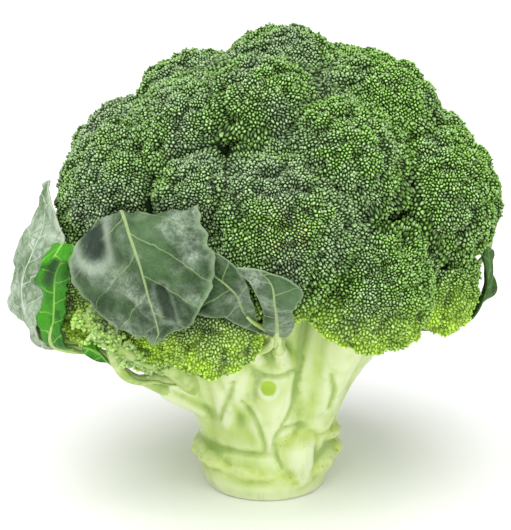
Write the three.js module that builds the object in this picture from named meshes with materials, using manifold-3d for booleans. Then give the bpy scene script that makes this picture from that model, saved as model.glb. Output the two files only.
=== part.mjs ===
// A head of broccoli that stands upright on its cut stem: one pale stalk that forks into limbs,
// a crown of florets covered in flower buds, and the small leaves left on it.
// Millimetres. +Z is up, the front faces -Y, and the origin is the middle of the cut face.

import * as THREE from "three";
import { ConvexGeometry } from "three/addons/geometries/ConvexGeometry.js";
import { ConvexHull } from "three/addons/math/ConvexHull.js";
import { mergeVertices } from "three/addons/utils/BufferGeometryUtils.js";
import Module from "manifold-3d";

const wasm = await Module();
wasm.setup();

const vector = (x, y, z) => new THREE.Vector3(x, y, z);
const UP = vector(0, 0, 1);

// Driving dimensions.
const GAP = 0.3; // clearance between neighbours that touch on the real head
const CROWN = { centre: vector(2, 2, 94), reach: 80, rise: 74 };
const FORK = vector(1, 1, 48); // where the limbs part, and what the florets face away from
const GOLDEN_ANGLE = Math.PI * (3 - Math.sqrt(5));

// Colours of the real surfaces.
const BUD_GREEN = 0x4c7040;
const STALK_GREEN = 0xc9d99a;
const LEAF_GREEN = 0x5f7a63;
const YOUNG_LEAF_GREEN = 0x3fa01f;
const LEAF_BACK_GREEN = 0xa9b9a6;

// The florets. Turn is the bearing from the front towards +X and rise the height angle, in
// degrees, of each floret's dome as seen from the crown's centre. Radius is the dome's, and out
// is how far it stands beyond the crown's even round.
const FLORETS = [
  { name: "front", turn: 2, rise: 15, radius: 30 },
  { name: "front_small", turn: -24, rise: 24, radius: 14 },
  { name: "left", turn: -66, rise: 20, radius: 30, out: 2 },
  { name: "upper_left", turn: -48, rise: 47, radius: 26, out: -3 },
  { name: "upper_front", turn: -8, rise: 60, radius: 20, out: 1 },
  { name: "top", turn: 150, rise: 82, radius: 26, out: 1 },
  { name: "right_front", turn: 28, rise: 38, radius: 23, out: 1 },
  { name: "upper_right", turn: 75, rise: 52, radius: 25, out: 3 },
  { name: "right", turn: 72, rise: 18, radius: 27, out: 5 },
  { name: "low_right_front", turn: 32, rise: -10, radius: 24 },
  { name: "low_right", turn: 72, rise: -16, radius: 22, out: -2 },
  { name: "low_front", turn: -20, rise: -20, radius: 18 },
  { name: "low_left_front", turn: -45, rise: -21, radius: 20 },
  { name: "low_left", turn: -72, rise: -19, radius: 23, out: 3 },
  { name: "left_back", turn: -106, rise: 26, radius: 27, out: 2 },
  { name: "low_left_back", turn: -108, rise: -12, radius: 24 },
  { name: "back_left", turn: -143, rise: 14, radius: 28 },
  { name: "low_back_left", turn: -150, rise: -18, radius: 22 },
  { name: "back", turn: 178, rise: 22, radius: 28 },
  { name: "low_back", turn: 172, rise: -16, radius: 22 },
  { name: "back_right", turn: 142, rise: 12, radius: 28 },
  { name: "low_back_right", turn: 134, rise: -20, radius: 21 },
  { name: "right_back", turn: 108, rise: 24, radius: 26, out: 4 },
  { name: "low_right_back", turn: 104, rise: -14, radius: 23, out: -3 },
  { name: "upper_back_left", turn: -125, rise: 54, radius: 26 },
  { name: "upper_back_right", turn: 128, rise: 52, radius: 26, out: 3 },
];

// The florets' surface. Knots are the low swellings on a dome, and buds stand on them.
const UNDERSIDE = { radius: 1.7, depth: 0.45 }; // the shallow ball under a dome, in dome radii
const KNOT = { spacing: 13, radius: 7, rise: 1.8 };
const BUD = { spacing: 8.1, rise: 1.4, dip: 1.2 };
const PLAIN_SPACING = 15; // of the corners where a floret is hidden by its neighbours

const radians = THREE.MathUtils.degToRad;

// Unit vectors spread evenly over a ball, on the spiral that buds grow in.
function spiral(radius, spacing) {
  const count = Math.round((4 * Math.PI * radius * radius) / (0.866 * spacing * spacing));
  const points = [];
  for (let k = 0; k < count; k++) {
    const height = 1 - (2 * k + 1) / count;
    const ring = Math.sqrt(1 - height * height);
    points.push(vector(ring * Math.cos(k * GOLDEN_ANGLE), ring * Math.sin(k * GOLDEN_ANGLE), height));
  }
  return points;
}

// How far a ray runs before it leaves a ball that holds its origin.
function ballExit(origin, ray, centre, radius) {
  const toCentre = centre.clone().sub(origin);
  const along = toCentre.dot(ray);
  return along + Math.sqrt(radius * radius - toCentre.lengthSq() + along * along);
}

// Each floret's place, its axis, the frame that its spirals turn about, and its knots.
function placeFloret({ name, turn, rise, radius, out = 0 }) {
  const [t, r] = [radians(turn), radians(rise)];
  const reach = CROWN.reach - radius + out;
  const centre = vector(
    reach * Math.cos(r) * Math.sin(t),
    -reach * Math.cos(r) * Math.cos(t),
    (CROWN.rise - radius + out) * Math.sin(r),
  ).add(CROWN.centre);
  const axis = centre.clone().sub(FORK).normalize();
  const frame = new THREE.Quaternion().setFromUnitVectors(UP, axis);
  const heart = centre.clone().addScaledVector(axis, 0.2 * radius);
  const knots = spiral(radius, KNOT.spacing).map((k) => k.applyQuaternion(frame));
  return { name, radius, rise, centre, axis, frame, heart, knots };
}

const florets = FLORETS.map(placeFloret);

// The planes in which a floret presses against its neighbours, each GAP / 2 back.
function wallsOf(floret) {
  const walls = [];
  for (const other of florets) {
    const normal = other.centre.clone().sub(floret.centre);
    const span = normal.length();
    if (span === 0) continue;
    normal.divideScalar(span);
    const split = (span ** 2 + floret.radius ** 2 - other.radius ** 2) / (2 * span);
    walls.push({ normal, distance: normal.dot(floret.centre) + split - GAP / 2 });
  }
  return walls;
}

// The height of the nearest knot over a dome's lowest level, in a direction from its centre.
function knotHeight(floret, direction) {
  let nearest = Infinity;
  for (const knot of floret.knots) nearest = Math.min(nearest, direction.distanceTo(knot));
  const away = (nearest * floret.radius) / KNOT.radius;
  return KNOT.rise * Math.max(0, 1 - away * away);
}

// Where a ray from the floret's heart meets its skin, and whether that is on the dome.
function skin(floret, walls, ray) {
  const { heart, centre, radius, axis } = floret;
  const under = UNDERSIDE.radius * radius;
  const underCentre = centre.clone().addScaledVector(axis, under - UNDERSIDE.depth * radius);
  const dome = ballExit(heart, ray, centre, radius - KNOT.rise);
  let limit = ballExit(heart, ray, underCentre, under);
  for (const { normal, distance } of walls) {
    const facing = normal.dot(ray);
    if (facing > 0) limit = Math.min(limit, (distance - normal.dot(heart)) / facing);
  }
  return { reach: Math.min(dome, limit), limit, onDome: dome < limit };
}

// A floret: close-set buds over its dome, and plain where it is hidden by its neighbours. Each
// bud is a blunt point whose foot runs through the hollows between it and the buds round it.
function floretGeometry(floret) {
  const walls = wallsOf(floret);
  const inFrame = (point) => point.applyQuaternion(floret.frame);
  const onDome = (ray) => skin(floret, walls, ray).onDome;
  const buds = spiral(floret.radius, BUD.spacing).map(inFrame).filter(onDome);
  const corners = spiral(floret.radius, PLAIN_SPACING).map(inFrame).filter((ray) => !onDome(ray));
  const isBud = new Set(buds);
  const positions = [];
  floret.corners = [];
  const place = (ray, relief) => {
    const { reach, limit, onDome } = skin(floret, walls, ray);
    const point = floret.heart.clone().addScaledVector(ray, reach);
    const outward = point.clone().sub(floret.centre).normalize();
    const raised = onDome ? Math.min(limit, reach + knotHeight(floret, outward) + relief) : reach;
    const placed = floret.heart.clone().addScaledVector(ray, raised);
    floret.corners.push(placed);
    positions.push(...placed.toArray());
    return positions.length / 3 - 1;
  };
  const hull = new ConvexHull().setFromPoints([...buds, ...corners]);
  const tips = new Map([...buds, ...corners].map((ray) => [ray, place(ray, BUD.rise)]));
  const edgesOf = (face) => [0, 1, 2].map((k) => face.getEdge(k));
  const hollows = new Map();
  for (const face of hull.faces) {
    const ends = edgesOf(face).map((edge) => edge.head().point);
    if (!ends.some((point) => isBud.has(point))) continue;
    const middle = ends.reduce((sum, point) => sum.add(point), vector(0, 0, 0)).normalize();
    hollows.set(face, place(middle, -BUD.dip));
  }
  const index = [];
  for (const face of hull.faces) {
    if (!hollows.has(face)) {
      index.push(...edgesOf(face).map((edge) => tips.get(edge.head().point)));
      continue;
    }
    for (const edge of edgesOf(face)) {
      const beyond = hollows.get(edge.twin.face) ?? tips.get(edge.head().point);
      index.push(tips.get(edge.tail().point), beyond, hollows.get(face));
    }
  }
  const geometry = new THREE.BufferGeometry();
  geometry.setAttribute("position", new THREE.Float32BufferAttribute(positions, 3));
  geometry.setIndex(index);
  return geometry;
}

// A floret's outline a little larger, to cut the limbs back to it.
function floretCutter(floret) {
  const corners = floret.corners.map((point) => {
    const out = point.clone().sub(floret.heart);
    return out.setLength(out.length() + 2 * GAP).add(floret.heart);
  });
  return solidOf(new ConvexGeometry(corners));
}

// Solids, for joining and cutting.
function solidOf(geometry) {
  const bare = geometry.clone();
  bare.deleteAttribute("normal");
  bare.deleteAttribute("uv");
  const merged = mergeVertices(bare, 1e-4);
  return new wasm.Manifold(
    new wasm.Mesh({
      numProp: 3,
      vertProperties: merged.attributes.position.array,
      triVerts: new Uint32Array(merged.index.array),
    }),
  );
}

function geometryOf(solid) {
  const mesh = solid.getMesh();
  const geometry = new THREE.BufferGeometry();
  geometry.setAttribute("position", new THREE.BufferAttribute(mesh.vertProperties, 3));
  geometry.setIndex(new THREE.BufferAttribute(mesh.triVerts, 1));
  return geometry;
}

// The biggest body of a solid, which leaves out loose scraps.
function biggest(solid) {
  return solid.decompose().reduce((a, b) => (b.volume() > a.volume() ? b : a));
}

// The stem: turned about Z, flat where it was cut, and wider again where the limbs leave it.
const STEM_SIDES = 20;
const STEM_PROFILE = [
  [0, 0],
  [21, 0],
  [23, 1.4],
  [25.2, 7],
  [25.6, 14],
  [24.2, 24],
  [22.8, 34],
  [18, 44],
  [0, 50],
];

function stemSolid() {
  const profile = STEM_PROFILE.map(([radius, height]) => new THREE.Vector2(radius, height));
  return solidOf(new THREE.LatheGeometry(profile, STEM_SIDES).rotateX(Math.PI / 2));
}

// A tapered limb along a curve: a turned spindle whose length is bent to the curve.
const LIMB_SIDES = 6;

function limbSolid(points, rootRadius, tipRadius, steps) {
  const curve = new THREE.CatmullRomCurve3(points.map((p) => vector(...p)));
  const profile = [new THREE.Vector2(0, 0)];
  for (let k = 0; k <= steps; k++) {
    const along = k / steps;
    profile.push(new THREE.Vector2(rootRadius + (tipRadius - rootRadius) * along, along));
  }
  profile.push(new THREE.Vector2(0, 1));
  const geometry = new THREE.LatheGeometry(profile, LIMB_SIDES);
  const positions = geometry.attributes.position;
  for (let k = 0; k < positions.count; k++) {
    const along = positions.getY(k);
    const turned = new THREE.Quaternion().setFromUnitVectors(UP, curve.getTangentAt(along));
    const offset = vector(positions.getX(k), -positions.getZ(k), 0).applyQuaternion(turned);
    const point = curve.getPointAt(along).add(offset);
    positions.setXYZ(k, point.x, point.y, point.z);
  }
  return solidOf(geometry);
}

// The upper florets' limbs leave a core that carries the stem on up inside the crown. The others
// leave the stem's side, and each ends inside its floret's underside.
const CORE = { foot: 30, top: 84, rootRadius: 15, tipRadius: 11, leastRise: 30 };
const LIMB_STEPS = 4;
const INNER_LIMB_STEPS = 2;

function floretLimb({ centre, axis, radius, rise }) {
  const foot = centre.clone().addScaledVector(axis, -UNDERSIDE.depth * radius);
  const tip = foot.clone().addScaledVector(axis, 5);
  if (rise >= CORE.leastRise) {
    const root = [0.1 * foot.x, 0.1 * foot.y, CORE.top - 18];
    return limbSolid([root, foot.toArray(), tip.toArray()], 0.38 * radius, 0.34 * radius, INNER_LIMB_STEPS);
  }
  const side = Math.hypot(foot.x, foot.y);
  const out = (distance, height) => [(foot.x / side) * distance, (foot.y / side) * distance, height];
  const lean = Math.min(1, side / 40);
  const points = [
    out(9 * lean, 18),
    out(16.5 * lean, 33),
    out(13.5 * lean + 0.3 * side, 19 + 0.42 * foot.z),
    foot.clone().addScaledVector(axis, -2).toArray(),
    tip.toArray(),
  ];
  return limbSolid(points, 0.4 * radius + 1.5, 0.4 * radius, LIMB_STEPS);
}

// What is left where leaves were cut or torn off: thick lips round the stem and small stubs.
// Half sizes are along the stem's girth, up it and out of it.
const SCARS = [
  { turn: -62, height: 9, half: [20, 4.5, 7], out: 23.5, tilt: -14 },
  { turn: -14, height: 12, half: [15, 4.5, 3], out: 22, tilt: 6 },
  { turn: 58, height: 23, half: [17, 4, 6.5], out: 22.5, tilt: 8 },
  { turn: 72, height: 11, half: [13, 8, 8], out: 24, tilt: -10 },
  { turn: 165, height: 20, half: [17, 4.5, 6], out: 22, tilt: 8 },
  { turn: -140, height: 28, half: [14, 4, 6], out: 22, tilt: -8 },
];
const STUBS = [
  { root: [0, -20, 38], tip: [0.5, -27.5, 43.5], radius: 3.6 },
  { root: [-1, -18, 50], tip: [-0.6, -31, 57.5], radius: 3.4 },
  { root: [-24, -16, 38], tip: [-33, -24, 44], radius: 5 },
  { root: [-26, -4, 32], tip: [-41, -8, 37], radius: 4 },
];
const SCAR_SIDES = [8, 5];

function scarSolid({ turn, height, half, out, tilt }) {
  const lip = new THREE.SphereGeometry(1, ...SCAR_SIDES).scale(half[0], half[2], half[1]);
  lip.rotateY(radians(tilt)).translate(0, -out, height).rotateZ(radians(turn));
  return solidOf(lip);
}

function stalkSolid() {
  const coreEnds = [[0, 0, CORE.foot], [CORE.tipRadius / 4, 0, CORE.top]];
  let stalk = stemSolid().add(limbSolid(coreEnds, CORE.rootRadius, CORE.tipRadius, INNER_LIMB_STEPS));
  for (const floret of florets) stalk = stalk.add(floretLimb(floret));
  for (const scar of SCARS) stalk = stalk.add(scarSolid(scar));
  for (const { root, tip, radius } of STUBS) {
    stalk = stalk.add(limbSolid([root, tip], radius + 1, radius, 1));
  }
  for (const floret of florets) stalk = stalk.subtract(floretCutter(floret));
  return biggest(stalk.simplify(0.2));
}

// Keeps a point clear of every floret, by moving it out of the one it is in, and never upward.
function clearOfFlorets(point, clearance) {
  for (let pass = 0; pass < 3; pass++) {
    for (const { centre, radius } of florets) {
      const least = radius + BUD.rise + GAP + clearance;
      const away = point.clone().sub(centre);
      if (away.length() >= least) continue;
      away.setZ(Math.min(away.z, 0)).normalize();
      point.addScaledVector(away, ballExit(point, away, centre, least));
    }
  }
  return point;
}

// Leaves. Each blade runs from its root between a left edge, a midrib and a right edge, through
// stations that the three share. The first stations are its stalk.
const LEAF = { thickness: 0.9, rib: 1.6 };
const LEAVES = [
  {
    name: "leaf_front",
    colour: LEAF_GREEN,
    grid: [18, 3],
    left: [
      [-33, -24, 48],
      [-48, -43, 58],
      [-57, -50, 76],
      [-60, -50, 96],
      [-55, -58, 112],
      [-61, -61, 105],
      [-63, -60, 94],
      [-58, -62, 85],
      [-48, -64, 79],
      [-37, -66, 75],
    ],
    rib: [
      [-31, -25, 47],
      [-46, -45, 57],
      [-51, -57, 76],
      [-49, -62, 98],
      [-46, -68, 117],
      [-42, -77, 110],
      [-39, -79, 102],
      [-37, -78, 93],
      [-35, -75, 85],
      [-34, -67, 74],
    ],
    right: [
      [-29, -26, 46],
      [-44, -46, 56],
      [-45, -61, 76],
      [-34, -68, 98],
      [-21, -73, 118],
      [-19, -79, 112],
      [-17, -80, 99],
      [-19, -80, 92],
      [-24, -77, 83],
      [-31, -68, 75],
    ],
    clearance: [1, 1.5, 5],
    wave: 1.2,
  },
  {
    name: "leaf_front_thin",
    colour: LEAF_GREEN,
    grid: [11, 3],
    left: [
      [-3, -31, 55],
      [-7, -54, 72],
      [-11, -68, 82],
      [-17, -72, 84],
      [-23, -72, 86],
      [-23, -70, 94],
    ],
    rib: [
      [-2, -31, 54],
      [-5, -55, 73],
      [-8, -70, 88],
      [-12, -74, 94],
      [-18, -73, 99],
      [-21, -71, 103],
    ],
    right: [
      [-1, -31, 53],
      [-3, -56, 74],
      [-4, -71, 88],
      [-7, -75, 97],
      [-12, -75, 103],
      [-19, -71, 107],
    ],
    clearance: [0.8, 0.8],
    wave: 0.8,
  },
  {
    name: "leaf_front_side",
    colour: LEAF_GREEN,
    grid: [11, 3],
    left: [
      [5, -31, 55],
      [0, -56, 71],
      [-1, -66, 82],
      [-2, -77, 89],
      [-5, -80, 96],
      [-10, -79, 102],
    ],
    rib: [
      [6, -31, 54],
      [3, -57, 72],
      [3, -68, 82],
      [2, -79, 90],
      [1, -81, 97],
      [-3, -80, 102],
    ],
    right: [
      [7, -31, 53],
      [6, -57, 73],
      [8, -67, 82],
      [8, -78, 89],
      [11, -80, 94],
      [5, -80, 99],
    ],
    clearance: [2, 3.5],
    wave: 0.8,
  },
  {
    name: "leaf_left_outer",
    colour: LEAF_BACK_GREEN,
    grid: [14, 3],
    left: [
      [-34, 3, 46],
      [-52, 4, 58],
      [-81, -10, 63],
      [-89, -12, 70],
      [-90, -10, 80],
      [-90, -8, 88],
      [-85, -8, 97],
      [-81, -10, 107],
      [-77, -14, 116],
    ],
    rib: [
      [-34, 1, 45],
      [-52, 1, 57],
      [-79, -20, 60],
      [-84, -24, 70],
      [-85, -26, 82],
      [-81, -27, 93],
      [-77, -25, 102],
      [-76, -23, 110],
      [-75, -18, 118],
    ],
    right: [
      [-34, -1, 46],
      [-52, -2, 58],
      [-75, -29, 62],
      [-77, -36, 70],
      [-75, -39, 82],
      [-70, -40, 96],
      [-68, -38, 102],
      [-69, -33, 110],
      [-73, -22, 116],
    ],
    clearance: [3, 2.5, 1.5, 1.5],
    wave: 1.2,
  },
  {
    name: "leaf_left_inner",
    colour: YOUNG_LEAF_GREEN,
    grid: [13, 3],
    left: [
      [-36, -20, 48],
      [-52, -31, 60],
      [-76, -34, 63],
      [-76, -38, 73],
      [-76, -41, 82],
      [-77, -43, 88],
      [-72, -46, 97],
      [-69, -50, 101],
      [-74, -54, 95],
    ],
    rib: [
      [-35, -22, 47],
      [-51, -33, 59],
      [-73, -38, 64],
      [-72, -42, 75],
      [-71, -45, 84],
      [-70, -47, 91],
      [-67, -49, 98],
      [-66, -53, 103],
      [-69, -58, 99],
    ],
    right: [
      [-34, -24, 48],
      [-50, -35, 60],
      [-68, -41, 66],
      [-68, -44, 75],
      [-67, -46, 84],
      [-64, -48, 91],
      [-62, -50, 97],
      [-62, -54, 102],
      [-65, -58, 99],
    ],
    clearance: [1, 1],
    wave: 0.8,
  },
  {
    name: "leaf_low_left",
    colour: YOUNG_LEAF_GREEN,
    grid: [8, 2],
    left: [
      [-35, -24, 44],
      [-47, -33, 53],
      [-53, -41, 65],
      [-56, -43, 66],
      [-59, -44, 67],
      [-61, -44, 68],
    ],
    rib: [
      [-35, -25, 43],
      [-47, -34, 52],
      [-53, -42, 62],
      [-56, -44, 63],
      [-59, -45, 65],
      [-62, -45, 66],
    ],
    right: [
      [-35, -26, 43],
      [-47, -35, 52],
      [-54, -41, 59],
      [-57, -43, 60],
      [-60, -44, 62],
      [-62, -44, 64],
    ],
    clearance: [1, 1],
    wave: 0.4,
  },
  {
    name: "leaf_right",
    colour: LEAF_GREEN,
    grid: [10, 2],
    left: [
      [34, -3, 48],
      [52, -3, 60],
      [70, -12, 68],
      [72, -16, 79],
      [73, -18, 86],
      [75, -15, 92],
    ],
    rib: [
      [34, -1, 47],
      [52, -1, 59],
      [72, -5, 66],
      [78, -8, 74],
      [80, -8, 84],
      [79, -8, 92],
    ],
    right: [
      [34, 1, 48],
      [52, 1, 60],
      [73, 1, 67],
      [83, 1, 72],
      [82, 0, 82],
      [81, -2, 89],
    ],
    clearance: [1, 1],
    wave: 0.6,
  },
  {
    name: "leaf_right_back",
    colour: YOUNG_LEAF_GREEN,
    grid: [10, 2],
    left: [
      [31, 18, 49],
      [51, 25, 60],
      [72, 19, 72],
      [80, 7, 85],
      [79, 0, 96],
      [81, 3, 105],
    ],
    rib: [
      [30, 20, 48],
      [50, 28, 59],
      [73, 22, 71],
      [82, 10, 84],
      [83, 6, 94],
      [83, 5, 106],
    ],
    right: [
      [29, 22, 49],
      [49, 31, 60],
      [73, 25, 72],
      [82, 14, 85],
      [84, 11, 92],
      [85, 8, 103],
    ],
    clearance: [1, 1],
    wave: 0.6,
  },
];

// A value between evenly spaced stations, without corners.
function stationed(values, along) {
  const place = along * (values.length - 1);
  const k = Math.min(values.length - 2, Math.floor(place));
  return THREE.MathUtils.lerp(values[k], values[k + 1], THREE.MathUtils.smoothstep(place - k, 0, 1));
}

function leafPoints({ grid, left, rib, right, clearance, wave }) {
  const [tall, half] = grid;
  const curves = [left, rib, right].map((points) => {
    return new THREE.CatmullRomCurve3(points.map((p) => vector(...p)), false, "centripetal");
  });
  const rows = [];
  for (let i = 0; i <= tall; i++) {
    const along = i / tall;
    const [start, middle, end] = curves.map((curve) => curve.getPoint(along));
    const normal = end.clone().sub(start).cross(curves[1].getTangent(along)).normalize();
    const row = [];
    for (let j = -half; j <= half; j++) {
      const spread = Math.abs(j) / half;
      const point = middle.clone().lerp(j < 0 ? start : end, spread);
      point.addScaledVector(normal, wave * spread * spread * Math.sin(19 * along + (j < 0 ? 0 : 2)));
      row.push(clearOfFlorets(point, stationed(clearance, along)));
    }
    rows.push(row);
  }
  return rows;
}

// A sheet with a front and a back face, split into triangles alike, and a rim between them.
function sheetGeometry(rows, thicknessAt) {
  const [tall, wide] = [rows.length, rows[0].length];
  const positions = [];
  for (const face of [1, -1]) {
    for (let i = 0; i < tall; i++) {
      for (let j = 0; j < wide; j++) {
        const up = rows[Math.min(i + 1, tall - 1)][j].clone().sub(rows[Math.max(i - 1, 0)][j]);
        const over = rows[i][Math.min(j + 1, wide - 1)].clone().sub(rows[i][Math.max(j - 1, 0)]);
        const normal = over.cross(up).normalize();
        const point = rows[i][j].clone().addScaledVector(normal, (face * thicknessAt(i, j)) / 2);
        positions.push(...point.toArray());
      }
    }
  }
  const at = (face, i, j) => face * tall * wide + i * wide + j;
  const index = [];
  for (let i = 0; i < tall - 1; i++) {
    for (let j = 0; j < wide - 1; j++) {
      index.push(at(0, i, j), at(0, i, j + 1), at(0, i + 1, j + 1));
      index.push(at(0, i, j), at(0, i + 1, j + 1), at(0, i + 1, j));
      index.push(at(1, i, j), at(1, i + 1, j + 1), at(1, i, j + 1));
      index.push(at(1, i, j), at(1, i + 1, j), at(1, i + 1, j + 1));
    }
  }
  const rim = [];
  for (let j = 0; j < wide - 1; j++) rim.push([0, j]);
  for (let i = 0; i < tall - 1; i++) rim.push([i, wide - 1]);
  for (let j = wide - 1; j > 0; j--) rim.push([tall - 1, j]);
  for (let i = tall - 1; i > 0; i--) rim.push([i, 0]);
  rim.forEach(([i, j], k) => {
    const [p, q] = rim[(k + 1) % rim.length];
    index.push(at(0, i, j), at(1, i, j), at(1, p, q));
    index.push(at(0, i, j), at(1, p, q), at(0, p, q));
  });
  const geometry = new THREE.BufferGeometry();
  geometry.setAttribute("position", new THREE.Float32BufferAttribute(positions, 3));
  geometry.setIndex(index);
  return geometry;
}

// A leaf, cut off at the stalk's skin and drawn clear of it.
function leafGeometry(leaf, stalk) {
  const rows = leafPoints(leaf);
  const thicknessAt = (i, j) => {
    const onRib = j === leaf.grid[1] ? 1 : 0;
    return LEAF.thickness + onRib * LEAF.rib * (1 - i / leaf.grid[0]);
  };
  const [root, next] = leaf.rib;
  const away = vector(...next).sub(vector(...root)).setLength(GAP);
  const cut = biggest(solidOf(sheetGeometry(rows, thicknessAt)).subtract(stalk));
  return geometryOf(cut).translate(...away.toArray());
}

// The head.
const head = new THREE.Group();

function addPart(name, geometry, colour, roughness) {
  const material = new THREE.MeshStandardMaterial({ color: colour, roughness, metalness: 0 });
  const mesh = new THREE.Mesh(geometry, material);
  mesh.name = name;
  head.add(mesh);
}

for (const floret of florets) {
  addPart("floret_" + floret.name, floretGeometry(floret), BUD_GREEN, 0.85);
}
const stalk = stalkSolid();
addPart("stalk", geometryOf(stalk), STALK_GREEN, 0.45);
for (const leaf of LEAVES) {
  addPart(leaf.name, leafGeometry(leaf, stalk), leaf.colour, 0.6);
}

export default head;
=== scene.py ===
# A head of broccoli that stands upright on its cut stem. The pale stalk forks into limbs, and
# carries a crown of florets covered in flower buds, with a few leaves left on at the front and sides.
# Metres. +Z is up, the front faces -Y, and the origin is the middle of the cut face.

import math
import random

import bmesh
import bpy
import numpy as np
from mathutils import Matrix, Vector
from mathutils import noise as field


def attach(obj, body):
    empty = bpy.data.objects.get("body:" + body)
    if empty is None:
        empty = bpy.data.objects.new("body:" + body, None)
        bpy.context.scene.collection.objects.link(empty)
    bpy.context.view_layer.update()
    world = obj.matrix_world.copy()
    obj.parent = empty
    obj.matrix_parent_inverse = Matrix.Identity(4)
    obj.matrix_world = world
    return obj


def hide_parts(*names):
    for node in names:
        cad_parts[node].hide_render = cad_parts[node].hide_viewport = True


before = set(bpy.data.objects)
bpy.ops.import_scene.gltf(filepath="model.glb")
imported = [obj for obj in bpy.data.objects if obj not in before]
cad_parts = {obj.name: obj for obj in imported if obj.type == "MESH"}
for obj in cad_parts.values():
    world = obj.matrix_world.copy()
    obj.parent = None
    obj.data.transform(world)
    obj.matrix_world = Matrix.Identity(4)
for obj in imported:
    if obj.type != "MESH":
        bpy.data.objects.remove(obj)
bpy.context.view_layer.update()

MM = 0.001


# Stalk. One thick stem of firm pale flesh under a waxy skin, which grows a limb for each floret. Leaves
# were cut off round its foot and left lips. Its parts are round tubes that are melted into one skin.
CROWN_CENTRE = Vector((2, 2, 94)) * MM
CROWN_REACH = 80 * MM
CROWN_RISE = 74 * MM
FORK = Vector((1, 1, 48)) * MM
FLORETS = [  # name, turn and rise in degrees, radius and how far out in millimetres
    ("front", 2, 15, 30, 0),
    ("front_small", -24, 24, 14, 0),
    ("left", -66, 20, 30, 2),
    ("upper_left", -48, 47, 26, -3),
    ("upper_front", -8, 60, 20, 1),
    ("top", 150, 82, 26, 1),
    ("right_front", 28, 38, 23, 1),
    ("upper_right", 75, 52, 25, 3),
    ("right", 72, 18, 27, 5),
    ("low_right_front", 32, -10, 24, 0),
    ("low_right", 72, -16, 22, -2),
    ("low_front", -20, -20, 18, 0),
    ("low_left_front", -45, -21, 20, 0),
    ("low_left", -72, -19, 23, 3),
    ("left_back", -106, 26, 27, 2),
    ("low_left_back", -108, -12, 24, 0),
    ("back_left", -143, 14, 28, 0),
    ("low_back_left", -150, -18, 22, 0),
    ("back", 178, 22, 28, 0),
    ("low_back", 172, -16, 22, 0),
    ("back_right", 142, 12, 28, 0),
    ("low_back_right", 134, -20, 21, 0),
    ("right_back", 108, 24, 26, 4),
    ("low_right_back", 104, -14, 23, -3),
    ("upper_back_left", -125, 54, 26, 0),
    ("upper_back_right", 128, 52, 26, 3),
]
UNDERSIDE_DEPTH = 0.45
UNDERSIDE_TILT = 0.4
UPPER_DEPTH = 0.8
HEART = 0.2  # the share of its radius by which a floret's rays start further out than its centre


class Floret:
    """Where a floret stands, which way it faces, and the axis and depth of its underside."""

    def __init__(self, name, turn, rise, radius, out):
        turn = math.radians(turn)
        self.name = name
        self.rise = math.radians(rise)
        self.radius = radius * MM
        flat = (CROWN_REACH - self.radius + out * MM) * math.cos(self.rise)
        high = (CROWN_RISE - self.radius + out * MM) * math.sin(self.rise)
        self.centre = CROWN_CENTRE + Vector((flat * math.sin(turn), -flat * math.cos(turn), high))
        self.axis = (self.centre - FORK).normalized()
        self.turned = Vector((0, 0, 1)).rotation_difference(self.axis)
        self.heart = self.centre + HEART * self.radius * self.axis
        low = rise < 0
        self.under_axis = (self.axis + low * UNDERSIDE_TILT * Vector((0, 0, 1))).normalized()
        self.depth = (UNDERSIDE_DEPTH if low else UPPER_DEPTH) * self.radius


florets = [Floret(*row) for row in FLORETS]

STEM_PROFILE = [  # from the middle of the cut face outward and up
    (0, 0), (20.6, 0), (22.2, 1.2), (23.8, 5), (24.6, 11), (24.4, 19),
    (25.6, 28), (26.8, 36), (25, 43), (17, 49), (0, 52),
]
STEM_CORE = (((0, 0, 30 * MM), (2.7 * MM, 0, 84 * MM)), (15 * MM, 11 * MM))
STALK_VOXEL = 1.0 * MM
STALK_SKIN_TRIANGLES = 76_000
STEEP_RISE = math.radians(30)  # florets above this stand on short limbs from the core
LIMB_STEPS = 12
LIMB_START = 66 * MM
LIMB_TIP = 5 * MM  # how far a limb runs on into its floret
LIMB_TURN = 40 * MM  # a floret's foot nearer the middle than this has a steeper limb
LUMP_FINENESS, LUMP_HEIGHT = 60, 0.7
GRAIN_FINENESS, GRAIN_HEIGHT = 260, 0.25  # the grain is drawn out upward
SCAR_FINENESS, SCAR_ROUGHNESS = 330, 0.9
CUT_HEIGHT = 1.2 * MM
# Lips left where leaf bases were cut off: turn, height, sizes round, up, down and out, how far out, tilt.
LIPS = [
    (-62, 14.8, (15, 5, 2.6, 9.2), 20.5, 12),
    (-20, 11.4, (15, 3.5, 2.2, 4.2), 22, 7),
    (44, 26, (14, 2.6, 6.5, 7.2), 20.5, -7),
    (70, 23.5, (8, 2.6, 5, 9), 20.5, -14),
    (62, 12.5, (12, 5, 8, 7.4), 20.5, -14),
    (82, 14.5, (8, 2.6, 5, 9), 20.5, -26),
    (165, 20, (17, 6, 3.5, 7), 21, 8),
    (-140, 28, (14, 6, 3, 7), 20, -8),
]
# Creases between the stems at the front, as sideways and upward places in millimetres. Each is
# pressed in and darkened with painted shade.
CREASES = [
    [(-11.5, 51), (-12.5, 45), (-15, 38), (-16.5, 31)],
    [(-8.5, 42), (-4.5, 35), (-1, 25), (0, 18)],
    [(12.5, 60), (10, 48), (8.5, 38), (5, 31)],
    [(-2, 52.5), (4, 52), (10.5, 54)],
    [(13, 31), (5.5, 30), (3, 26), (3.6, 19), (6, 13)],
    [(16, 25), (22, 26), (28, 26)],
    [(-20, 19.5), (-10, 19.5), (3, 19)],
    [(22, 53), (23.5, 45), (22, 37)],
]
CREASE_DEPTH = 0.9
CREASE_FRONT = -12 * MM
LIP_CURL = 0.35
LIP_EDGE = 0.6  # below 1 the lip's rim is sharp
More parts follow.
